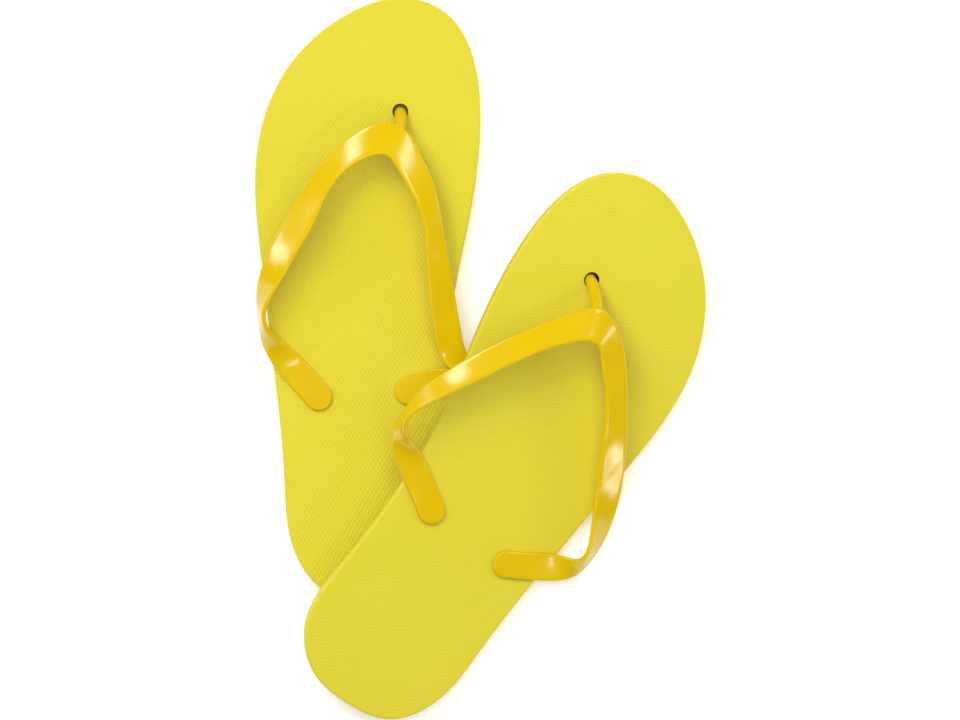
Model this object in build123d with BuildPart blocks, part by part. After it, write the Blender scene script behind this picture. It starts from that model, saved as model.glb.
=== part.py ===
"""A pair of flip flops: two foam soles, each with a moulded strap plugged through it.

Every sub-part is drawn in the frame of its own sandal, in millimetres: x points to the inner
(big toe) side of the foot, y points to the toes, and z points up from the underside. The origin
is under the middle of the back of the heel. The right sandal is the mirror image of the left.

The left sandal lies flat. The right one lies askew beside it, with its inner edge propped on
the left heel, so its frame is turned, pitched and rolled.
"""
import os

from build123d import *

os.makedirs("parts", exist_ok=True)

# Sole
LENGTH = 275.0
THICKNESS = 10.0
TOP_ROUNDING = 1.5
FLEX_LINE = 188.0
FLEX_GAP = 0.3
CUT_MARGIN = 10.0

# Sole outline, counter-clockwise from the toe round the outer side, the heel and the inner side
OUTLINE = [
    (17.5, 275.0), (-9.0, 267.8), (-34.2, 246.5), (-47.6, 220.0), (-51.6, 189.0),
    (-49.4, 160.0), (-43.2, 107.0), (-38.2, 55.0), (-33.2, 21.0), (-20.0, 4.3),
    (2.0, 0.0), (24.0, 4.2), (38.5, 20.0), (40.2, 52.0), (37.2, 102.0),
    (39.6, 139.0), (47.2, 178.0), (51.5, 220.0), (48.3, 247.0), (37.0, 267.0),
]

# Strap fixings
TOE_HOLE = (14.9, 223.0)
HOLE_CLEARANCE = 0.4
POST_DIAMETER = 5.4
POST_HOLE_DIAMETER = 6.8
PEG_DIAMETER = 6.5
DISC_DIAMETER = 15.0
DISC_THICKNESS = 1.8
RECESS_DIAMETER = 17.0
RECESS_DEPTH = 3.0
SEAT_GAP = 0.1

# Strap band
BAND_THICKNESS = 2.2
BAND_REST = BAND_THICKNESS / 2 + SEAT_GAP
TONGUE_WIDTH = 12.7
BAND_SECTIONS = 61
RUN_STEP = 0.004

# Bend and top of each toe post: x, y and the height over the footbed
LEFT_POST = ((15.1, 218.9, 8.5), (14.6, 210.6, 16.2))
RIGHT_POST = ((12.6, 218.9, 8.5), (8.6, 211.5, 16.2))

# Where the right sandal lies, seen from the left one
RIGHT_TURN = -33.2
RIGHT_PITCH = 1.75
RIGHT_ROLL = 17.66
RIGHT_PLACE = (-10.3, -46.4, 10.12)

# The middle of the pair's footprint, seen from the left sandal
PAIR_CENTRE = (51.3, 110.15)

# Stations of each band from the outer tongue over the toes to the inner tongue. A station is
# the band's outer and inner edge: x, y and the height of its mid thickness over the footbed.
LEFT_BAND = [
    ((-27.3, 88.4, BAND_REST), (-17.7, 96.8, BAND_REST)),
    ((-32.5, 94.4, BAND_REST), (-23.0, 102.8, BAND_REST)),
    ((-38.2, 100.6, 1.4), (-29.2, 109.4, 1.8)),
    ((-44.6, 109.2, 2.4), (-37.0, 116.4, 6.6)),
    ((-48.3, 119.5, 4.0), (-44.9, 122.6, 15.0)),
    ((-49.4, 128.5, 6.5), (-47.2, 129.5, 18.5)),
    ((-50.2, 138.5, 9.5), (-44.6, 137.0, 20.5)),
    ((-48.7, 149.5, 12.5), (-38.6, 146.6, 20.5)),
    ((-43.0, 163.5, 15.5), (-32.4, 157.4, 21.5)),
    ((-34.5, 178.0, 18.0), (-24.6, 170.7, 23.5)),
    ((-25.6, 192.5, 19.5), (-18.2, 184.6, 25.0)),
    ((-13.5, 206.0, 20.5), (-9.2, 195.8, 26.0)),
    ((-1.5, 214.9, 21.0), (1.2, 201.8, 26.0)),
    ((9.5, 217.6, 21.0), (7.8, 202.6, 25.5)),
    ((18.4, 213.0, 20.5), (11.6, 199.6, 25.5)),
    ((24.4, 202.6, 20.0), (15.0, 194.4, 26.0)),
    ((29.6, 191.0, 19.5), (20.4, 185.0, 26.5)),
    ((33.0, 176.0, 18.0), (25.4, 173.0, 26.0)),
    ((36.2, 158.0, 16.0), (26.8, 156.0, 23.0)),
    ((39.6, 140.0, 13.0), (28.2, 138.0, 18.0)),
    ((42.8, 122.0, 9.5), (30.8, 119.4, 12.8)),
    ((45.8, 111.0, 6.6), (34.4, 109.4, 12.8)),
    ((48.4, 104.0, 4.6), (39.4, 104.4, 13.0)),
    ((47.4, 98.6, 3.2), (41.0, 104.0, 9.6)),
    ((42.6, 95.4, 2.2), (37.4, 105.2, 4.4)),
    ((36.6, 94.0, 1.5), (32.0, 105.6, 1.7)),
    ((28.9, 91.8, BAND_REST), (25.2, 104.0, BAND_REST)),
    ((20.3, 89.2, BAND_REST), (16.6, 101.4, BAND_REST)),
]
RIGHT_BAND = [
    ((-27.8, 87.0, BAND_REST), (-22.2, 98.4, BAND_REST)),
    ((-35.4, 90.8, BAND_REST), (-29.9, 102.2, BAND_REST)),
    ((-43.2, 94.9, 1.4), (-37.9, 106.6, 1.6)),
    ((-50.7, 99.8, 2.0), (-44.9, 110.0, 3.8)),
    ((-55.3, 105.5, 2.6), (-49.2, 111.8, 8.8)),
    ((-56.6, 112.4, 3.8), (-50.4, 115.0, 13.5)),
    ((-56.5, 122.0, 5.8), (-48.6, 122.0, 15.0)),
    ((-54.5, 133.6, 8.0), (-43.3, 132.3, 14.5)),
    ((-49.4, 148.0, 10.5), (-36.8, 144.8, 14.5)),
    ((-41.0, 163.6, 13.0), (-29.0, 158.4, 16.5)),
    ((-31.0, 179.0, 15.0), (-20.4, 173.6, 20.0)),
    ((-19.9, 193.7, 17.0), (-10.8, 186.4, 22.0)),
    ((-8.7, 206.0, 18.5), (-3.2, 194.2, 23.5)),
    ((1.0, 213.0, 19.5), (0.8, 198.4, 24.5)),
    ((10.6, 214.6, 20.0), (5.4, 200.0, 25.0)),
    ((20.6, 205.4, 18.6), (12.4, 196.6, 25.0)),
    ((35.0, 185.7, 17.0), (27.2, 179.4, 24.0)),
    ((45.5, 168.4, 15.0), (37.4, 162.8, 22.5)),
    ((53.3, 152.0, 12.5), (46.4, 148.2, 21.5)),
    ((57.4, 138.0, 9.5), (54.6, 135.6, 20.5)),
    ((57.2, 126.0, 6.5), (57.6, 125.6, 18.0)),
    ((55.6, 117.6, 4.2), (54.2, 120.4, 14.5)),
    ((51.6, 109.8, 2.6), (47.2, 117.6, 8.6)),
    ((45.0, 104.2, 1.9), (39.6, 115.0, 3.8)),
    ((37.4, 99.6, 1.4), (30.8, 110.6, 1.6)),
    ((30.0, 94.9, BAND_REST), (22.9, 105.5, BAND_REST)),
    ((22.6, 90.0, BAND_REST), (15.2, 100.4, BAND_REST)),
]


def sandal_plane(side):
    """Frame of one sandal in the frame of the pair."""
    if side == "left":
        return Plane((-PAIR_CENTRE[0], -PAIR_CENTRE[1], 0))
    across, up = Vector(1, 0, 0), Vector(0, 0, 1)
    for axis, angle in ((Axis.Y, RIGHT_ROLL), (Axis.X, RIGHT_PITCH), (Axis.Z, RIGHT_TURN)):
        across = across.rotate(axis, angle)
        up = up.rotate(axis, angle)
    x, y, z = RIGHT_PLACE
    return Plane((x - PAIR_CENTRE[0], y - PAIR_CENTRE[1], z), x_dir=across, z_dir=up)


class Sandal:
    """One sandal: its frame, its mirrored x direction and the points of its band and post."""

    def __init__(self, side, band, post):
        self.side = side
        self.plane = sandal_plane(side)
        self.hand = 1 if side == "left" else -1
        self.band = band
        self.post = post
        self.outer_peg = self.tongue_end(band[0])
        self.inner_peg = self.tongue_end(band[-1])

    def point(self, x, y, z=0.0):
        """A place on this sandal, in its own frame, with x counted to the foot's inner side."""
        return Vector(self.hand * x, y, z)

    def tongue_end(self, station):
        """Middle of the round end of a tongue."""
        outer, inner = station
        return self.point((outer[0] + inner[0]) / 2, (outer[1] + inner[1]) / 2)

    def at_height(self, z):
        """Plane across the sandal at height z over its underside."""
        return self.plane.offset(z)

    def save(self, part, name):
        """Label a finished sub-part and write its STEP file."""
        part.label = f"{self.side}_{name}"
        export_step(part, f"parts/{part.label}.step")
        print(part.label, round(part.volume), "mm3")


def sole_blank(sandal):
    """The whole die-cut foam slab, with its top edge rounded and its three fixing holes."""
    fixings = [
        (sandal.point(*TOE_HOLE), POST_HOLE_DIAMETER),
        (sandal.outer_peg, PEG_DIAMETER + HOLE_CLEARANCE),
        (sandal.inner_peg, PEG_DIAMETER + HOLE_CLEARANCE),
    ]
    with BuildPart() as blank:
        with BuildSketch(sandal.plane):
            with BuildLine():
                Spline(*[sandal.point(x, y) for x, y in OUTLINE], periodic=True)
            make_face()
        extrude(amount=THICKNESS)
        rims = blank.edges().filter_by(lambda edge: edge.length > LENGTH)
        fillet(rims.sort_by(Axis(sandal.plane.origin, sandal.plane.z_dir))[-1], TOP_ROUNDING)
        for place, hole in fixings:
            with Locations(sandal.plane.location * Location((place.X, place.Y, THICKNESS))):
                Hole(hole / 2)
            with BuildSketch(sandal.plane):
                with Locations((place.X, place.Y)):
                    Circle(RECESS_DIAMETER / 2)
            extrude(amount=RECESS_DEPTH, mode=Mode.SUBTRACT)
    return blank.part


def sole_piece(sandal, blank, name, start, end):
    """The stretch of the sole between two distances from the heel."""
    with BuildPart() as piece:
        add(blank)
        with BuildSketch(sandal.plane):
            with Locations((0, (start + end) / 2)):
                Rectangle(LENGTH, end - start)
        extrude(amount=THICKNESS, mode=Mode.INTERSECT)
    sandal.save(piece.part, name)


def band_edges(sandal):
    """The two edges of the band as smooth curves that share one parameter along the band."""
    outer, inner = [
        [sandal.point(*station[edge]) + Vector(0, 0, THICKNESS) for station in sandal.band]
        for edge in (0, 1)
    ]
    runs = [0.0]
    for here in range(1, len(outer)):
        steps = [(edge[here] - edge[here - 1]).length for edge in (outer, inner)]
        runs.append(runs[-1] + sum(steps) / 2)
    stations = [run / runs[-1] for run in runs]
    return Edge.make_spline(outer, parameters=stations), Edge.make_spline(inner, parameters=stations)


def band_section(edges, along):
    """Plane and width of the band's cross-section at a fraction of its length."""
    def middle(fraction):
        outer, inner = [edge.position_at(fraction, PositionMode.PARAMETER) for edge in edges]
        return (outer + inner) / 2

    outer, inner = [edge.position_at(along, PositionMode.PARAMETER) for edge in edges]
    across = (inner - outer).normalized()
    run = middle(min(along + RUN_STEP, 1)) - middle(max(along - RUN_STEP, 0))
    run = run - across * run.dot(across)
    return Plane(middle(along), x_dir=across, z_dir=run), (inner - outer).length


def strap_band(sandal):
    """The flat band of the strap: four long faces between its corner curves, closed at the ends."""
    edges = band_edges(sandal)
    fractions = [number / (BAND_SECTIONS - 1) for number in range(BAND_SECTIONS)]
    sections = [band_section(edges, fraction) for fraction in fractions]
    corners = [
        [
            section.from_local_coords((across * width / 2, up * BAND_THICKNESS / 2))
            for section, width in sections
        ]
        for across, up in ((-1, -1), (1, -1), (1, 1), (-1, 1))
    ]
    curves = [Edge.make_spline(corner, parameters=fractions) for corner in corners]
    faces = [
        Face.make_surface_from_curves(curve, following)
        for curve, following in zip(curves, curves[1:] + curves[:1])
    ]
    for end in (0, -1):
        faces.append(Face(Wire.make_polygon([corner[end] for corner in corners])))
    solid = Solid(Shell(faces))
    with BuildPart(sandal.plane) as band:
        add(solid.fix())
    sandal.save(band.part, "strap_band")


def retaining_disc(sandal, place):
    """The moulded disc that holds a stem in its recess under the sole."""
    with BuildPart() as disc:
        with BuildSketch(sandal.at_height(RECESS_DEPTH - SEAT_GAP)):
            with Locations((place.X, place.Y)):
                Circle(DISC_DIAMETER / 2)
        extrude(amount=-DISC_THICKNESS)
    return disc.part


def tongue_plug(sandal, name, station, beyond):
    """The round end of a tongue with its peg and disc; beyond is the next station inwards."""
    place = sandal.tongue_end(station)
    outer, inner = [sandal.point(*edge) for edge in station]
    run = (inner - outer).rotate(Axis.Z, 90)
    if run.dot(sandal.tongue_end(beyond) - place) < 0:
        run = -run
    turn = Vector(1, 0, 0).get_signed_angle(run, Vector(0, 0, 1))
    disc = retaining_disc(sandal, place)
    with BuildPart() as plug:
        add(disc)
        with BuildSketch(sandal.at_height(THICKNESS + SEAT_GAP)):
            with Locations(Location((place.X, place.Y, 0), (0, 0, turn))):
                Circle(TONGUE_WIDTH / 2)
                Rectangle(TONGUE_WIDTH, 2 * TONGUE_WIDTH, align=(Align.MIN, Align.CENTER),
                          mode=Mode.SUBTRACT)
        extrude(amount=BAND_THICKNESS)
        with BuildSketch(sandal.at_height(RECESS_DEPTH - SEAT_GAP)):
            with Locations((place.X, place.Y)):
                Circle(PEG_DIAMETER / 2)
        extrude(amount=THICKNESS - RECESS_DEPTH + 2 * SEAT_GAP)
    sandal.save(plug.part, name)


def toe_post(sandal):
    """The post between the toes: up through the sole, then leaning back to the band."""
    foot = sandal.point(*TOE_HOLE, RECESS_DEPTH - SEAT_GAP)
    brim = sandal.point(*TOE_HOLE, THICKNESS)
    bend, top = [sandal.point(x, y, THICKNESS + height) for x, y, height in sandal.post]
    disc = retaining_disc(sandal, foot)
    with BuildPart() as post:
        add(disc)
        with BuildLine() as route:
            Spline(*[sandal.plane.from_local_coords(place) for place in (foot, brim, bend, top)])
        with BuildSketch(Plane(route.line @ 0, z_dir=route.line % 0)):
            Circle(POST_DIAMETER / 2)
        sweep()
    sandal.save(post.part, "toe_post")


for sandal in (
    Sandal("left", LEFT_BAND, LEFT_POST),
    Sandal("right", RIGHT_BAND, RIGHT_POST),
):
    foam = sole_blank(sandal)
    sole_piece(sandal, foam, "sole_heel", -CUT_MARGIN, FLEX_LINE - FLEX_GAP / 2)
    sole_piece(sandal, foam, "sole_toe", FLEX_LINE + FLEX_GAP / 2, LENGTH + CUT_MARGIN)
    strap_band(sandal)
    tongue_plug(sandal, "outer_plug", sandal.band[0], sandal.band[1])
    tongue_plug(sandal, "inner_plug", sandal.band[-1], sandal.band[-2])
    toe_post(sandal)
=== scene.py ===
"""A pair of foam flip flops with moulded straps, seen from straight above.

Shapes are drawn in the frame of each sandal, in millimetres: x to the foot's inner side, y to
the toes, z up from the underside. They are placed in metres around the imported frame.
"""
import math

import bmesh
import bpy
import numpy as np
from mathutils import Matrix, Vector
from mathutils.geometry import delaunay_2d_cdt


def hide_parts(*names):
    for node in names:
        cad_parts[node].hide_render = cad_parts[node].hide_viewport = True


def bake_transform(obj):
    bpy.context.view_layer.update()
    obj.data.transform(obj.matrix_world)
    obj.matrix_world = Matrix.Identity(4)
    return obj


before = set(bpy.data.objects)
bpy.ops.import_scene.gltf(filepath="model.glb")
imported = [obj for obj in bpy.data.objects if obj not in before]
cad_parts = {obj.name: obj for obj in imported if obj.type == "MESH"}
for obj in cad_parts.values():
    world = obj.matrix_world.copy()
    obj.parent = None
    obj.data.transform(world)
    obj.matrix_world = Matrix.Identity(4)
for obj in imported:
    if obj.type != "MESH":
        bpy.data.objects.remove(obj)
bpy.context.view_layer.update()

MM = 0.001
UP = (0, 0, 1)
SHARP_ANGLE = 50

# Sole
THICKNESS = 10.0
TOP_ROUNDING = 1.2
BOTTOM_ROUNDING = 0.7
UNDERCUT = 1.6
UNDERCUT_CURVE = 1.3
WALL_LEVELS = (0.2, 0.4, 0.6, 0.8)
TOP_RIM = 2.2
BOTTOM_RIM = 4.0
TOP_STEPS, BOTTOM_STEPS = 6, 4
OUTLINE_POINTS = 360
FILL_STEP = 3.6
FILL_ROW = FILL_STEP * 0.87
FILL_START, FILL_STOP = (-52.0, 4.0), (52.0, 273.0)
RIM_CLEAR = 1.8
OUTLINE = [
    (17.5, 275.0), (-9.0, 267.8), (-34.2, 246.5), (-47.6, 220.0), (-51.6, 189.0),
    (-49.4, 160.0), (-43.2, 107.0), (-38.2, 55.0), (-33.2, 21.0), (-20.0, 4.3),
    (2.0, 0.0), (24.0, 4.2), (38.5, 20.0), (40.2, 52.0), (37.2, 102.0),
    (39.6, 139.0), (47.2, 178.0), (51.5, 220.0), (48.3, 247.0), (37.0, 267.0),
]

# Underside tread
TREAD_BORDER = 9.0
TREAD_PITCH = 5.5
TREAD_WIDTH = 1.5
TREAD_WALL = 0.35
TREAD_DEPTH = 0.7
TREAD_CLEAR = 12.0
TREAD_SHORTEST = 11.0

# Strap fixings
TOE_HOLE = (14.9, 223.0)
POST_HOLE_RADIUS = 3.4
PEG_HOLE_RADIUS = 3.45
HOLE_LIP = 0.4
# Circles, and the share of the radius within which a face's middle lies inside the circle
CIRCLE_POINTS = 48
CIRCLE_EDGE = 0.996
LIP_STEPS = 3
HOLE_CLEAR = 1.5
HOLE_WAIST = 0.7
POST_RADIUS = 2.7
POST_PULL = 0.6
POST_NECK = 6.0
POST_SINK = 0.3
POST_FLARE = 1.8
POST_SECTIONS = 48
LEFT_POST = ((15.1, 218.9, 8.5), (14.6, 210.6))
RIGHT_POST = ((12.6, 218.9, 8.5), (8.6, 211.5))
PEG_RADIUS = 3.25
PEG_WAIST = 6.0
STEM_POINTS = 40
DISC_RADIUS = 7.5
DISC_THICKNESS = 1.8
RECESS_RADIUS = 8.5
RECESS_DEPTH = 3.0
SEAT_GAP = 0.1
# The disc's rounded rims: heights over its bottom or under its top, and insets of the radius
DISC_BOTTOM_RIM = ((0.0, 0.7), (0.15, 0.2), (0.5, 0.0))
DISC_TOP_RIM = ((0.4, 0.0), (0.1, 0.2), (0.0, 0.6))

# Strap band: the outer and inner edge of each cross-section, from one tongue to the other
BAND_THICKNESS = 2.2
BAND_REST = BAND_THICKNESS / 2 + SEAT_GAP
BAND_EDGE = 1.0
EDGE_STEPS = 8
EDGE_FULLNESS = 0.8
FACE_SHARES = (0.75, 0.45, 0.15, -0.15, -0.45, -0.75)
BAND_SECTIONS = 260
END_SECTIONS = 12
LEFT_BAND = [
    ((-27.3, 88.4, BAND_REST), (-17.7, 96.8, BAND_REST)),
    ((-32.5, 94.4, BAND_REST), (-23.0, 102.8, BAND_REST)),
    ((-38.2, 100.6, 1.4), (-29.2, 109.4, 1.8)),
    ((-44.6, 109.2, 2.4), (-37.0, 116.4, 6.6)),
    ((-48.3, 119.5, 4.0), (-44.9, 122.6, 15.0)),
    ((-49.4, 128.5, 6.5), (-47.2, 129.5, 18.5)),
    ((-50.2, 138.5, 9.5), (-44.6, 137.0, 20.5)),
    ((-48.7, 149.5, 12.5), (-38.6, 146.6, 20.5)),
    ((-43.0, 163.5, 15.5), (-32.4, 157.4, 21.5)),
    ((-34.5, 178.0, 18.0), (-24.6, 170.7, 23.5)),
    ((-25.6, 192.5, 19.5), (-18.2, 184.6, 25.0)),
    ((-13.5, 206.0, 20.5), (-9.2, 195.8, 26.0)),
    ((-1.5, 214.9, 21.0), (1.2, 201.8, 26.0)),
    ((9.5, 217.6, 21.0), (7.8, 202.6, 25.5)),
    ((18.4, 213.0, 20.5), (11.6, 199.6, 25.5)),
    ((24.4, 202.6, 20.0), (15.0, 194.4, 26.0)),
    ((29.6, 191.0, 19.5), (20.4, 185.0, 26.5)),
    ((33.0, 176.0, 18.0), (25.4, 173.0, 26.0)),
    ((36.2, 158.0, 16.0), (26.8, 156.0, 23.0)),
    ((39.6, 140.0, 13.0), (28.2, 138.0, 18.0)),
    ((42.8, 122.0, 9.5), (30.8, 119.4, 12.8)),
    ((45.8, 111.0, 6.6), (34.4, 109.4, 12.8)),
    ((48.4, 104.0, 4.6), (39.4, 104.4, 13.0)),
    ((47.4, 98.6, 3.2), (41.0, 104.0, 9.6)),
    ((42.6, 95.4, 2.2), (37.4, 105.2, 4.4)),
    ((36.6, 94.0, 1.5), (32.0, 105.6, 1.7)),
    ((28.9, 91.8, BAND_REST), (25.2, 104.0, BAND_REST)),
    ((20.3, 89.2, BAND_REST), (16.6, 101.4, BAND_REST)),
]
RIGHT_BAND = [
    ((-27.8, 87.0, BAND_REST), (-22.2, 98.4, BAND_REST)),
    ((-35.4, 90.8, BAND_REST), (-29.9, 102.2, BAND_REST)),
    ((-43.2, 94.9, 1.4), (-37.9, 106.6, 1.6)),
    ((-50.7, 99.8, 2.0), (-44.9, 110.0, 3.8)),
    ((-55.3, 105.5, 2.6), (-49.2, 111.8, 8.8)),
    ((-56.6, 112.4, 3.8), (-50.4, 115.0, 13.5)),
    ((-56.5, 122.0, 5.8), (-48.6, 122.0, 15.0)),
    ((-54.5, 133.6, 8.0), (-43.3, 132.3, 14.5)),
    ((-49.4, 148.0, 10.5), (-36.8, 144.8, 14.5)),
    ((-41.0, 163.6, 13.0), (-29.0, 158.4, 16.5)),
    ((-31.0, 179.0, 15.0), (-20.4, 173.6, 20.0)),
    ((-19.9, 193.7, 17.0), (-10.8, 186.4, 22.0)),
    ((-8.7, 206.0, 18.5), (-3.2, 194.2, 23.5)),
    ((1.0, 213.0, 19.5), (0.8, 198.4, 24.5)),
    ((10.6, 214.6, 20.0), (5.4, 200.0, 25.0)),
    ((20.6, 205.4, 18.6), (12.4, 196.6, 25.0)),
    ((35.0, 185.7, 17.0), (27.2, 179.4, 24.0)),
    ((45.5, 168.4, 15.0), (37.4, 162.8, 22.5)),
    ((53.3, 152.0, 12.5), (46.4, 148.2, 21.5)),
    ((57.4, 138.0, 9.5), (54.6, 135.6, 20.5)),
    ((57.2, 126.0, 6.5), (57.6, 125.6, 18.0)),
    ((55.6, 117.6, 4.2), (54.2, 120.4, 14.5)),
    ((51.6, 109.8, 2.6), (47.2, 117.6, 8.6)),
    ((45.0, 104.2, 1.9), (39.6, 115.0, 3.8)),
    ((37.4, 99.6, 1.4), (30.8, 110.6, 1.6)),
    ((30.0, 94.9, BAND_REST), (22.9, 105.5, BAND_REST)),
    ((22.6, 90.0, BAND_REST), (15.2, 100.4, BAND_REST)),
]

# Places of the two sandals in the pair's frame
PAIR_CENTRE = Vector((51.3, 110.15, 0))
RIGHT_PLACE = Vector((-10.3, -46.4, 10.12))
RIGHT_TURN = -33.2
RIGHT_PITCH = 1.75
RIGHT_ROLL = 17.66

# Emboss of the foam: ridge directions clockwise from the sandal's length, and their depths
RIDGE_PITCH = 1.7
LEFT_RIDGES = ((30.3, 2.0), (-32.8, 1.5))
RIGHT_RIDGES = ((61.8, 0.6), (-1.2, 0.15))

# Foam: noise scales per millimetre, colour pairs, shares of mixing, bump heights in metres
CELL_SCALE, PATCH_SCALE = 3.5, 0.025
RAMP = (0.3, 0.7)
FRESH_FOAM = ((0.635, 0.548, 0.016), (0.660, 0.572, 0.023))
WORN_FOAM = ((0.600, 0.508, 0.010), (0.680, 0.592, 0.030))
CUT_FOAM = (0.70, 0.62, 0.02, 1.0)
CUT_SHARE = 0.3
WEAR, CREST_WEAR = 0.30, 0.06
# Painted shade: the toe hole's bore is painted near-black to stand for the shade deep inside it
HOLE_PAINTED_SHADE = (0.006, 0.002, 0.001, 1.0)
HOLE_SHADE_EDGE = (0.3, 0.1)
EMBOSS_START, EMBOSS_FULL = 0.5, 0.02
TREAD_FADE = (1.2, 0.6)
FOAM_ROUGHNESS, CELL_ROUGHNESS = 0.62, 0.18
RIDGE_BUMP, CELL_BUMP = 0.00003, 0.00004

# Strap plastic
CLOUD_SCALE, FLOW_SCALE, GRAIN_SCALE = 0.05, 0.12, 6.0
FLOW_STRETCH = (1.0, 0.4, 1.0)
STRAP_TINTS = ((0.645, 0.435, 0.0006), (0.67, 0.47, 0.001))
GLOSS_ROUGHNESS, FLOW_ROUGHNESS = 0.13, 0.08
FLOW_BUMP, GRAIN_BUMP = 0.0002, 0.000003

# Studio, in metres
FLOOR_SIZE = 6.0
PAPER_TINTS = ((0.93, 0.93, 0.93), (0.95, 0.95, 0.95))
PAPER_RAMP = (0.2, 0.8)
PAPER_SCALE = 3.0
LIGHT_DISTANCE = 1.7
# Each softbox: turn, rise, size, power, whether it lights surfaces, whether it shows in gloss
SOFTBOXES = (
    (-32, 33, 0.48, 7.6, False, True),
    (-79, 31, 0.18, 1.5, True, True),
    (54, 46, 0.36, 3.7, False, True),
    (93, 17, 0.14, 0.8, True, True),
    (125, 21, 0.11, 1.1, False, True),
    (158, 63, 0.22, 1.6, True, True),
    (-40, 56, 0.60, 9.0, True, False),
    (-10, 78, 1.10, 16.5, True, False),
    (80, 25, 0.50, 3.0, True, False),
)
WORLD_STRENGTH = 0.46
CAMERA_PLACE = (0.0, -0.00075, 6.0)
VIEW_WIDTH = 0.4395
CLIP_START, CLIP_END = 0.1, 20.0


def curve_through(points, knots, at, closed=False):
    """Places at the given parameters on the cubic spline that passes through the points."""
    points, knots = np.asarray(points, float), np.asarray(knots, float)
    steps = np.diff(knots)
    slopes = np.diff(points, axis=0) / steps[:, None]
    size = len(points)
    left, right = np.zeros((size, size)), np.zeros_like(points)
    for row in range(1, size - 1):
        before, after = steps[row - 1], steps[row]
        left[row, row - 1:row + 2] = before, 2 * (before + after), after
        right[row] = 6 * (slopes[row] - slopes[row - 1])
    left[0, 0] = left[-1, -1] = 1
    if closed:
        left[0, [0, 1, -2]] = 2 * (steps[0] + steps[-1]), steps[0], steps[-1]
        right[0] = 6 * (slopes[0] - slopes[-1])
        left[-1, 0] = -1
    bend = np.linalg.solve(left, right)
    span = np.clip(np.searchsorted(knots, at, side="right") - 1, 0, size - 2)
    width = steps[span][:, None]
    past, ahead = (at - knots[span])[:, None], (knots[span + 1] - at)[:, None]
    return (
        (bend[span] * ahead ** 3 + bend[span + 1] * past ** 3) / (6 * width)
        + (points[span] / width - bend[span] * width / 6) * ahead
        + (points[span + 1] / width - bend[span + 1] * width / 6) * past
    )


def unit(rows):
    """Directions of unit length."""
    return rows / np.linalg.norm(rows, axis=-1, keepdims=True)


class Skin:
    """Points and faces of one closed surface, built from rings."""

    def __init__(self):
        self.points, self.faces = [], []

    def ring(self, places):
        """Adds a ring of places; returns their point numbers."""
        first = len(self.points)
        self.points.extend(tuple(place) for place in places)
        return list(range(first, len(self.points)))

    def bridge(self, one, other):
        """Joins two rings of point numbers with a strip of faces."""
        for here in range(len(one)):
            after = (here + 1) % len(one)
            self.faces.append((one[here], one[after], other[after], other[here]))

    def tube(self, rings, capped=False):
        """Joins rings of places one after another; returns the first and last ring."""
        ids = [self.ring(places) for places in rings]
        for one, other in zip(ids, ids[1:]):
            self.bridge(one, other)
        if capped:
            self.faces += [tuple(ids[0]), tuple(ids[-1])]
        return ids[0], ids[-1]

    def fill(self, loops, inside, runs, keep):
        """Triangulates between loops of point numbers, with more places inside joined by runs."""
        first = len(self.points)
        self.points.extend(tuple(place) for place in inside)
        known = [number for loop in loops for number in loop]
        known += range(first, len(self.points))
        edges, start = [], 0
        for loop in loops:
            count = len(loop)
            edges += [(start + here, start + (here + 1) % count) for here in range(count)]
            start += count
        edges += [(start + one, start + other) for one, other in runs]
        flat = [Vector(self.points[number][:2]) for number in known]
        places, _, triangles, source, _, _ = delaunay_2d_cdt(flat, edges, [], 1, 1e-6)
        for triangle in triangles:
            middle = sum((places[corner] for corner in triangle), Vector((0, 0))) / 3
            if keep(middle):
                self.faces.append(tuple(known[source[corner][0]] for corner in triangle))

    def mesh(self, name):
        """The surface as a clean mesh with its faces turned outwards."""
        shape = bmesh.new()
        corners = [shape.verts.new(place) for place in self.points]
        for face in self.faces:
            shape.faces.new([corners[number] for number in face])
        loose = [corner for corner in corners if not corner.link_faces]
        bmesh.ops.delete(shape, geom=loose, context="VERTS")
        bmesh.ops.remove_doubles(shape, verts=shape.verts, dist=1e-4)
        bmesh.ops.dissolve_degenerate(shape, edges=shape.edges, dist=1e-4)
        bmesh.ops.recalc_face_normals(shape, faces=shape.faces)
        mesh = bpy.data.meshes.new(name)
        shape.to_mesh(mesh)
        shape.free()
        return mesh


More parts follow.
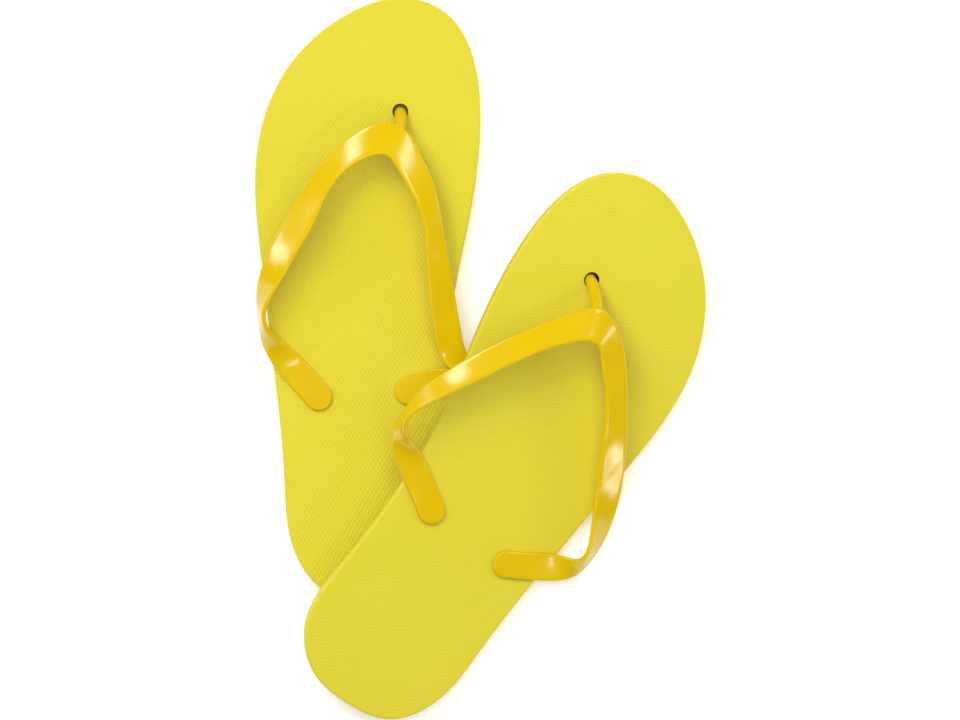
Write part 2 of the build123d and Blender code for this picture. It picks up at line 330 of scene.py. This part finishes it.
class Sandal:
    """One sandal's side, its band and its place in the pair."""

    def __init__(self, side, band, post, ridges):
        self.side, self.post, self.ridges = side, post, ridges
        self.hand = 1 if side == "left" else -1
        lifted = [[(x, y, z + THICKNESS) for x, y, z in station] for station in band]
        self.outer, self.inner = np.array(lifted).transpose(1, 0, 2)
        self.pegs = [(self.outer[end] + self.inner[end])[:2] / 2 for end in (0, -1)]
        place, turn = -PAIR_CENTRE, Matrix.Identity(4)
        if side == "right":
            place = RIGHT_PLACE - PAIR_CENTRE
            turn = (
                Matrix.Rotation(math.radians(RIGHT_TURN), 4, "Z")
                @ Matrix.Rotation(math.radians(RIGHT_PITCH), 4, "X")
                @ Matrix.Rotation(math.radians(RIGHT_ROLL), 4, "Y")
            )
        self.placing = Matrix.Scale(MM, 4) @ Matrix.Translation(place) @ turn
        self.mirror = Matrix.Diagonal((self.hand, 1, 1, 1))

    def spot(self, x, y, z=0.0):
        """A place on this sandal, in metres in the pair's frame."""
        return self.placing @ (self.mirror @ Vector((x, y, z)))

    def finish(self, mesh, name, material, slot, nodes):
        """Places a mesh and remembers where each point was on the sandal."""
        mesh.transform(self.mirror)
        if self.hand < 0:
            mesh.flip_normals()
        places = np.array([point.co for point in mesh.vertices], np.float32)
        rest = mesh.attributes.new("place", "FLOAT_VECTOR", "POINT")
        rest.data.foreach_set("vector", places.ravel())
        mesh.transform(self.placing)
        mesh.materials.clear()
        mesh.materials.append(material)
        mesh.shade_smooth()
        mesh.set_sharp_from_angle(angle=math.radians(SHARP_ANGLE))
        piece = bpy.data.objects.new(f"{self.side}_{name}", mesh)
        bpy.context.collection.objects.link(piece)
        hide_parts(*[f"{self.side}_{node}" for node in nodes])
        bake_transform(piece)
        return piece


def circle(centre, radius, height):
    """Places on a level circle."""
    angles = np.arange(CIRCLE_POINTS) * 2 * math.pi / CIRCLE_POINTS
    return [
        (centre[0] + radius * math.cos(angle), centre[1] + radius * math.sin(angle), height)
        for angle in angles
    ]


def arc(steps):
    """Sines and cosines over a quarter turn."""
    return [
        (math.sin(math.pi / 2 * step / steps), math.cos(math.pi / 2 * step / steps))
        for step in range(steps + 1)
    ]


def outline():
    """The sole's outline as places and outward directions."""
    closed = OUTLINE + OUTLINE[:1]
    lengths = np.linalg.norm(np.diff(closed, axis=0), axis=1)
    knots = np.concatenate([[0.0], np.cumsum(lengths)])
    at = np.arange(OUTLINE_POINTS) * knots[-1] / OUTLINE_POINTS
    places = curve_through(closed, knots, at, closed=True)
    along = unit(np.roll(places, -1, axis=0) - np.roll(places, 1, axis=0))
    return places, np.stack([along[:, 1], -along[:, 0]], axis=1)


def crossings(loop, y):
    """The x values, in order, where a closed loop crosses a line across the sole."""
    following = np.roll(loop, -1, axis=0)
    hit = (loop[:, 1] > y) != (following[:, 1] > y)
    one, other = loop[hit], following[hit]
    share = (y - one[:, 1]) / (other[:, 1] - one[:, 1])
    return sorted(one[:, 0] + share * (other[:, 0] - one[:, 0]))


def tread(border, fixings):
    """Points and runs of the shallow grooves across the underside."""
    points, runs = [], []
    for y in np.arange(border[:, 1].min() + TREAD_PITCH, border[:, 1].max(), TREAD_PITCH):
        walls = crossings(border, y)
        if len(walls) < 2:
            continue
        for x, centre in fixings:
            reach = TREAD_CLEAR ** 2 - (y - centre) ** 2
            if reach > 0:
                walls += [x - math.sqrt(reach), x + math.sqrt(reach)]
        walls.sort()
        for start, end in zip(walls[::2], walls[1::2]):
            if end - start < TREAD_SHORTEST:
                continue
            count = max(2, round((end - start) / FILL_STEP))
            columns = np.linspace(start + TREAD_WALL, end - TREAD_WALL, count)
            columns = [start, *columns, end]
            rows = []
            for offset, deep in ((-1, 0), (-1, 1), (1, 1), (1, 0)):
                level = y + offset * (TREAD_WIDTH / 2 + (0 if deep else TREAD_WALL))
                first = len(points)
                for number, x in enumerate(columns):
                    ends = number in (0, len(columns) - 1)
                    points.append((x, level, 0 if ends else deep * TREAD_DEPTH))
                rows.append(list(range(first, len(points))))
                runs += zip(rows[-1], rows[-1][1:])
            for one, other in zip(rows, rows[1:]):
                runs += [(one[0], other[0]), (one[-1], other[-1])]
                runs += [(one[1], other[1]), (one[-2], other[-2])]
    return points, runs


def sole_mesh(sandal):
    """The die-cut foam slab: rounded rim, three holes, recesses under it and the tread."""
    places, outward = outline()
    skin = Skin()

    def inset(depth, height):
        """The outline drawn in by a depth, at a height."""
        return [(x, y, height) for x, y in places - outward * depth]

    wall = THICKNESS - TOP_ROUNDING - BOTTOM_ROUNDING
    profile = [(BOTTOM_RIM, 0.0)]
    profile += [
        (UNDERCUT + BOTTOM_ROUNDING * (1 - s), BOTTOM_ROUNDING * (1 - c))
        for s, c in arc(BOTTOM_STEPS)
    ]
    profile += [
        (UNDERCUT * (1 - level) ** UNDERCUT_CURVE, BOTTOM_ROUNDING + level * wall)
        for level in WALL_LEVELS
    ]
    profile += [
        (TOP_ROUNDING * (1 - c), THICKNESS - TOP_ROUNDING * (1 - s))
        for s, c in arc(TOP_STEPS)
    ]
    profile.append((TOP_RIM, THICKNESS))
    under, top = skin.tube([inset(*step) for step in profile])

    fixings = [(TOE_HOLE, POST_HOLE_RADIUS)] + [(peg, PEG_HOLE_RADIUS) for peg in sandal.pegs]
    tops, unders = [top], [under]
    for centre, radius in fixings:
        ceiling = THICKNESS - HOLE_LIP
        rings = [
            (radius + HOLE_LIP * (1 - s), THICKNESS - HOLE_LIP * (1 - c))
            for s, c in arc(LIP_STEPS)
        ]
        rings += [
            (radius, ceiling * HOLE_WAIST), (radius, RECESS_DEPTH),
            (RECESS_RADIUS, RECESS_DEPTH), (RECESS_RADIUS, HOLE_LIP),
            (RECESS_RADIUS + HOLE_LIP / 2, 0.0),
        ]
        upper, lower = skin.tube([circle(centre, wide, high) for wide, high in rings])
        tops.append(upper)
        unders.append(lower)

    border = places - outward * TOP_RIM

    def clear(x, y):
        """True where a spot is well off the holes and inside the top's border."""
        walls = crossings(border, y)
        inside = any(
            start + RIM_CLEAR < x < end - RIM_CLEAR
            for start, end in zip(walls[::2], walls[1::2])
        )
        return inside and all(
            math.dist((x, y), centre) > radius + HOLE_LIP + HOLE_CLEAR
            for centre, radius in fixings
        )

    def off_holes(middle):
        """True where a face of the top isn't over a hole."""
        return all(
            math.dist(middle, centre) > (radius + HOLE_LIP) * CIRCLE_EDGE
            for centre, radius in fixings
        )

    def off_recesses(middle):
        """True where a face of the underside isn't over a recess."""
        recess = (RECESS_RADIUS + HOLE_LIP / 2) * CIRCLE_EDGE
        return all(math.dist(middle, centre) > recess for centre, _ in fixings)

    grid = [
        (x + FILL_STEP / 2 * (row % 2), y, THICKNESS)
        for row, y in enumerate(np.arange(FILL_START[1], FILL_STOP[1], FILL_ROW))
        for x in np.arange(FILL_START[0], FILL_STOP[0], FILL_STEP)
    ]
    skin.fill(tops, [spot for spot in grid if clear(*spot[:2])], [], off_holes)
    grooves, runs = tread(places - outward * TREAD_BORDER, [centre for centre, _ in fixings])
    skin.fill(unders, grooves, runs, off_recesses)
    return skin.mesh(f"{sandal.side}_sole")


def band_frames(sandal):
    """Centres, half-widths and the three directions of the band's cross-sections."""
    steps = [
        np.linalg.norm(np.diff(edge, axis=0), axis=1) for edge in (sandal.outer, sandal.inner)
    ]
    knots = np.concatenate([[0.0], np.cumsum(sum(steps) / 2)])
    at = np.linspace(0, knots[-1], BAND_SECTIONS)
    outer, inner = [
        curve_through(edge, knots, at) for edge in (sandal.outer, sandal.inner)
    ]
    centres, half = (outer + inner) / 2, np.linalg.norm(inner - outer, axis=1) / 2
    across = unit(inner - outer)
    run = np.gradient(centres, axis=0)
    run = unit(run - across * (run * across).sum(axis=1, keepdims=True))
    return centres, half, across, run, np.cross(across, run)


def band_ring(half, turn=0.0):
    """A cross-section of the band as (across, back, up); turn swings it round a tongue's end."""
    flat = half - BAND_EDGE
    rows = []
    for sign in (1, -1):
        for step in range(EDGE_STEPS + 1):
            angle = sign * (math.pi * step / EDGE_STEPS - math.pi / 2)
            reach = flat + BAND_EDGE * abs(math.cos(angle)) ** EDGE_FULLNESS
            up = BAND_THICKNESS / 2 * math.sin(angle)
            rows.append((sign * reach * math.cos(turn), reach * math.sin(turn), up))
        for share in FACE_SHARES:
            rows.append((
                sign * share * flat * math.cos(turn), flat * math.sin(turn),
                sign * BAND_THICKNESS / 2,
            ))
    return np.array(rows)


def band_mesh(sandal):
    """The flat band with its two round tongue ends."""
    centres, half, across, run, up = band_frames(sandal)

    def section(number, ring, back):
        """A cross-section placed on the band."""
        return (
            centres[number] + ring[:, :1] * across[number]
            + ring[:, 1:2] * back + ring[:, 2:] * up[number]
        )

    turns = [math.pi / 2 * step / END_SECTIONS for step in range(END_SECTIONS, 0, -1)]
    rings = [section(0, band_ring(half[0], turn), -run[0]) for turn in turns]
    rings += [
        section(number, band_ring(half[number]), run[number]) for number in range(BAND_SECTIONS)
    ]
    rings += [section(-1, band_ring(half[-1], turn), run[-1]) for turn in reversed(turns)]
    skin = Skin()
    skin.tube(rings)
    return skin.mesh("band")


def stem_mesh(rings):
    """A turned stem: each ring is a centre, a direction and a radius."""
    skin, places = Skin(), []
    side = Vector((1, 0, 0))
    for centre, direction, radius in rings:
        direction = Vector(direction).normalized()
        out = (side - direction * side.dot(direction)).normalized()
        other = direction.cross(out)
        places.append([
            Vector(centre) + radius * (out * math.cos(angle) + other * math.sin(angle))
            for angle in np.arange(STEM_POINTS) * math.pi / (STEM_POINTS / 2)
        ])
    skin.tube(places, capped=True)
    return skin.mesh("stem")


def disc_rings(centre, stem):
    """The disc under the sole, up to the foot of its stem."""
    x, y = centre
    low, high = RECESS_DEPTH - SEAT_GAP - DISC_THICKNESS, RECESS_DEPTH - SEAT_GAP
    levels = [(low + rise, DISC_RADIUS - inset) for rise, inset in DISC_BOTTOM_RIM]
    levels += [(high - drop, DISC_RADIUS - inset) for drop, inset in DISC_TOP_RIM]
    levels.append((high, stem))
    return [((x, y, level), UP, radius) for level, radius in levels]


def peg_mesh(centre):
    """The peg and disc under a tongue's end."""
    rings = disc_rings(centre, PEG_RADIUS)
    rings += [((*centre, level), UP, PEG_RADIUS) for level in (PEG_WAIST, THICKNESS + BAND_REST)]
    return stem_mesh(rings)


def post_mesh(sandal):
    """The toe post, leaning back from its hole and spreading into the band's underside."""
    centres, _, _, _, up = band_frames(sandal)
    bend, top = sandal.post
    near = int(np.argmin(np.linalg.norm(centres[:, :2] - top, axis=1)))
    root, down = centres[near], -up[near] * np.sign(up[near][2])
    x, y = TOE_HOLE
    route = [
        (x, y, RECESS_DEPTH - SEAT_GAP), (x, y - POST_PULL, THICKNESS),
        (bend[0], bend[1], THICKNESS + bend[2]), root + down * POST_SINK,
    ]
    knots = np.concatenate([[0.0], np.cumsum(np.linalg.norm(np.diff(route, axis=0), axis=1))])
    path = curve_through(route, knots, np.linspace(0, knots[-1], POST_SECTIONS))
    along = unit(np.gradient(path, axis=0))
    rings = disc_rings(TOE_HOLE, POST_RADIUS)
    for place, way in zip(path[2:], along[2:]):
        near_band = max(0.0, 1 - math.dist(place, root) / POST_NECK)
        way = way * (1 - near_band) - down * near_band
        rings.append((tuple(place), tuple(way), POST_RADIUS + POST_FLARE * near_band ** 2))
    return stem_mesh(rings)


def strap_mesh(sandal):
    """Band, pegs and post joined into one moulding."""
    whole = bpy.data.objects.new("moulding", band_mesh(sandal))
    bpy.context.collection.objects.link(whole)
    others = [peg_mesh(peg) for peg in sandal.pegs] + [post_mesh(sandal)]
    extras = []
    for mesh in others:
        extra = bpy.data.objects.new("extra", mesh)
        bpy.context.collection.objects.link(extra)
        join = whole.modifiers.new("join", "BOOLEAN")
        join.operation, join.solver, join.object = "UNION", "EXACT", extra
        extras.append(extra)
    graph = bpy.context.evaluated_depsgraph_get()
    mesh = bpy.data.meshes.new_from_object(whole.evaluated_get(graph))
    mesh.name = f"{sandal.side}_strap"
    for scrap in [whole, *extras]:
        bpy.data.objects.remove(scrap)
    return mesh


class Paint:
    """Node material under construction, drawn by each point's place on the sandal."""

    def __init__(self, name):
        self.material = bpy.data.materials.new(name)
        self.material.use_nodes = True
        self.tree = self.material.node_tree
        self.tree.nodes.clear()
        self.place = self.add("ShaderNodeAttribute", attribute_name="place").outputs["Vector"]

    def add(self, kind, inputs=(), **settings):
        """A new node with its settings, and values or links on its inputs."""
        node = self.tree.nodes.new(kind)
        for name, value in settings.items():
            setattr(node, name, value)
        for socket, value in dict(inputs).items():
            if isinstance(value, bpy.types.NodeSocket):
                self.tree.links.new(value, node.inputs[socket])
            else:
                node.inputs[socket].default_value = value
        return node

    def math(self, operation, *values):
        """The result of an arithmetic node."""
        return self.add("ShaderNodeMath", enumerate(values), operation=operation).outputs[0]

    def vector(self, operation, *values, output="Vector"):
        """The result of a vector arithmetic node."""
        node = self.add("ShaderNodeVectorMath", enumerate(values), operation=operation)
        return node.outputs[output]

    def fade(self, value, start, end):
        """A factor that goes from 0 to 1 as the value goes from start to end."""
        inputs = {"Value": value, "From Min": start, "From Max": end}
        return self.add("ShaderNodeMapRange", inputs).outputs[0]

    def noise(self, scale, detail=2.0, stretch=(1.0, 1.0, 1.0)):
        """Soft noise over the sandal."""
        spread = self.vector("MULTIPLY", self.place, stretch)
        inputs = {"Vector": spread, "Scale": scale, "Detail": detail}
        return self.add("ShaderNodeTexNoise", inputs).outputs["Fac"]

    def between(self, factor, positions, colours):
        """Colour that goes from one to another as the factor goes between two positions."""
        ramp = self.add("ShaderNodeValToRGB", {"Fac": factor})
        for stop, position, colour in zip(ramp.color_ramp.elements, positions, colours):
            stop.position, stop.color = position, (*colour, 1.0)
        return ramp.outputs["Color"]

    def mix(self, factor, one, other):
        """One colour going over to another by a factor."""
        inputs = {0: factor, 6: one, 7: other}
        return self.add("ShaderNodeMix", inputs, data_type="RGBA").outputs[2]

    def bump(self, height, distance, normal=None):
        """Normals bumped by a height, on top of other bumped normals if there are any."""
        inputs = {"Height": height, "Distance": distance, "Strength": 1.0}
        if normal is not None:
            inputs["Normal"] = normal
        return self.add("ShaderNodeBump", inputs).outputs["Normal"]

    def shade(self, **inputs):
        """The finished material."""
        named = {name.replace("_", " "): value for name, value in inputs.items()}
        shader = self.add("ShaderNodeBsdfPrincipled", named)
        self.add("ShaderNodeOutputMaterial", {"Surface": shader.outputs["BSDF"]})
        return self.material


def foam(sandal):
    """Matte closed-cell foam with fine embossed ridges on both faces, a plain cut side and
    painted shade in the toe hole.
    """
    paint = Paint(f"{sandal.side}_foam")
    ridges = 0.0
    for degrees, depth in sandal.ridges:
        angle = math.radians(degrees)
        wave = 2 * math.pi / RIDGE_PITCH
        across = (wave * math.cos(angle), -wave * math.sin(angle), 0.0)
        phase = paint.vector("DOT_PRODUCT", paint.place, across, output="Value")
        ridge = paint.math("MULTIPLY", paint.math("SINE", phase), depth)
        ridges = paint.math("ADD", ridges, ridge)
    height = paint.add("ShaderNodeSeparateXYZ", {0: paint.place}).outputs["Z"]
    top = paint.fade(height, THICKNESS - EMBOSS_START, THICKNESS - EMBOSS_FULL)
    low = paint.fade(height, *[TREAD_DEPTH * share for share in TREAD_FADE])
    faces = paint.math("MAXIMUM", top, low)
    embossed = paint.math("MULTIPLY", ridges, faces)
    cells = paint.noise(CELL_SCALE, detail=3.0)
    patches = paint.noise(PATCH_SCALE, detail=3.0)
    fresh = paint.between(patches, RAMP, FRESH_FOAM)
    worn = paint.between(cells, RAMP, WORN_FOAM)
    colour = paint.mix(paint.math("MULTIPLY_ADD", embossed, CREST_WEAR, WEAR), fresh, worn)
    side = paint.math("SUBTRACT", 1.0, faces)
    colour = paint.mix(paint.math("MULTIPLY", side, CUT_SHARE), colour, CUT_FOAM)
    # Painted shade: near-black inside the toe hole's bore, fading out across its rounded lip
    hole = (sandal.hand * TOE_HOLE[0], TOE_HOLE[1], THICKNESS / 2)
    level = paint.vector("MULTIPLY", paint.vector("SUBTRACT", paint.place, hole), (1, 1, 0))
    reach = paint.vector("LENGTH", level, output="Value")
    painted_hole_shade = paint.fade(reach, *[POST_HOLE_RADIUS + edge for edge in HOLE_SHADE_EDGE])
    colour = paint.mix(painted_hole_shade, colour, HOLE_PAINTED_SHADE)
    rough = paint.math("MULTIPLY_ADD", cells, CELL_ROUGHNESS, FOAM_ROUGHNESS)
    normal = paint.bump(embossed, RIDGE_BUMP)
    normal = paint.bump(cells, CELL_BUMP, normal)
    return paint.shade(Base_Color=colour, Roughness=rough, Normal=normal, IOR=1.45,
                       Specular_IOR_Level=0.8)


def moulded(sandal):
    """Glossy, slightly translucent soft plastic."""
    paint = Paint(f"{sandal.side}_gloss")
    clouds = paint.noise(CLOUD_SCALE)
    flow = paint.noise(FLOW_SCALE, detail=1.0, stretch=FLOW_STRETCH)
    grain = paint.noise(GRAIN_SCALE)
    colour = paint.between(clouds, RAMP, STRAP_TINTS)
    rough = paint.math("MULTIPLY_ADD", flow, FLOW_ROUGHNESS, GLOSS_ROUGHNESS)
    normal = paint.bump(flow, FLOW_BUMP)
    normal = paint.bump(grain, GRAIN_BUMP, normal)
    return paint.shade(Base_Color=colour, Roughness=rough, Normal=normal, IOR=1.5,
                       Subsurface_Weight=0.2, Subsurface_Radius=(1.0, 0.7, 0.03),
                       Subsurface_Scale=0.002)


def floor():
    """The pale studio floor."""
    shape = bmesh.new()
    bmesh.ops.create_grid(shape, x_segments=1, y_segments=1, size=FLOOR_SIZE)
    mesh = bpy.data.meshes.new("floor")
    shape.to_mesh(mesh)
    shape.free()
    paint = Paint("floor_paper")
    spot = paint.add("ShaderNodeTexCoord").outputs["Object"]
    inputs = {"Vector": spot, "Scale": PAPER_SCALE}
    mottle = paint.add("ShaderNodeTexNoise", inputs).outputs["Fac"]
    colour = paint.between(mottle, PAPER_RAMP, PAPER_TINTS)
    mesh.materials.append(paint.shade(
        Base_Color=colour, Roughness=0.9, Specular_IOR_Level=0.1,
        Emission_Color=(1.0, 1.0, 1.0, 1.0), Emission_Strength=0.2,
    ))
    piece = bpy.data.objects.new("floor", mesh)
    bpy.context.collection.objects.link(piece)


def softbox(turn, rise, size, power, fills, shines):
    """A square light at a clockwise turn from the view's top and a rise from the floor."""
    lamp = bpy.data.lights.new("softbox", "AREA")
    lamp.size, lamp.energy = size, power
    light = bpy.data.objects.new("softbox", lamp)
    bpy.context.collection.objects.link(light)
    turn, rise = math.radians(turn), math.radians(rise)
    towards = Vector((
        math.sin(turn) * math.cos(rise), math.cos(turn) * math.cos(rise), math.sin(rise)
    ))
    light.location = towards * LIGHT_DISTANCE
    light.rotation_euler = towards.to_track_quat("Z", "Y").to_euler()
    light.visible_diffuse, light.visible_glossy = fills, shines


def surroundings():
    """Even white light from all round, left out of reflections."""
    world = bpy.data.worlds.new("studio")
    world.use_nodes = True
    sky = world.node_tree.nodes["Background"]
    sky.inputs["Color"].default_value = (1.0, 1.0, 1.0, 1.0)
    sky.inputs["Strength"].default_value = WORLD_STRENGTH
    world.cycles_visibility.glossy = False
    bpy.context.scene.world = world
    bpy.context.scene.view_settings.view_transform = "Standard"


def overhead_camera():
    """The camera, looking straight down on the pair."""
    camera = bpy.data.objects.new("camera", bpy.data.cameras.new("camera"))
    bpy.context.collection.objects.link(camera)
    camera.location = CAMERA_PLACE
    camera.data.lens = camera.data.sensor_width * CAMERA_PLACE[2] / VIEW_WIDTH
    camera.data.clip_start, camera.data.clip_end = CLIP_START, CLIP_END
    bpy.context.scene.camera = camera


SOLE_NODES = ("sole_heel", "sole_toe")
STRAP_NODES = ("strap_band", "outer_plug", "inner_plug", "toe_post")
PAIR = (
    Sandal("left", LEFT_BAND, LEFT_POST, LEFT_RIDGES),
    Sandal("right", RIGHT_BAND, RIGHT_POST, RIGHT_RIDGES),
)
for sandal in PAIR:
    sandal.finish(sole_mesh(sandal), "sole", foam(sandal), "foam_sole", SOLE_NODES)
    sandal.finish(strap_mesh(sandal), "strap", moulded(sandal), "glossy_strap", STRAP_NODES)

floor()
for box in SOFTBOXES:
    softbox(*box)
surroundings()
overhead_camera()
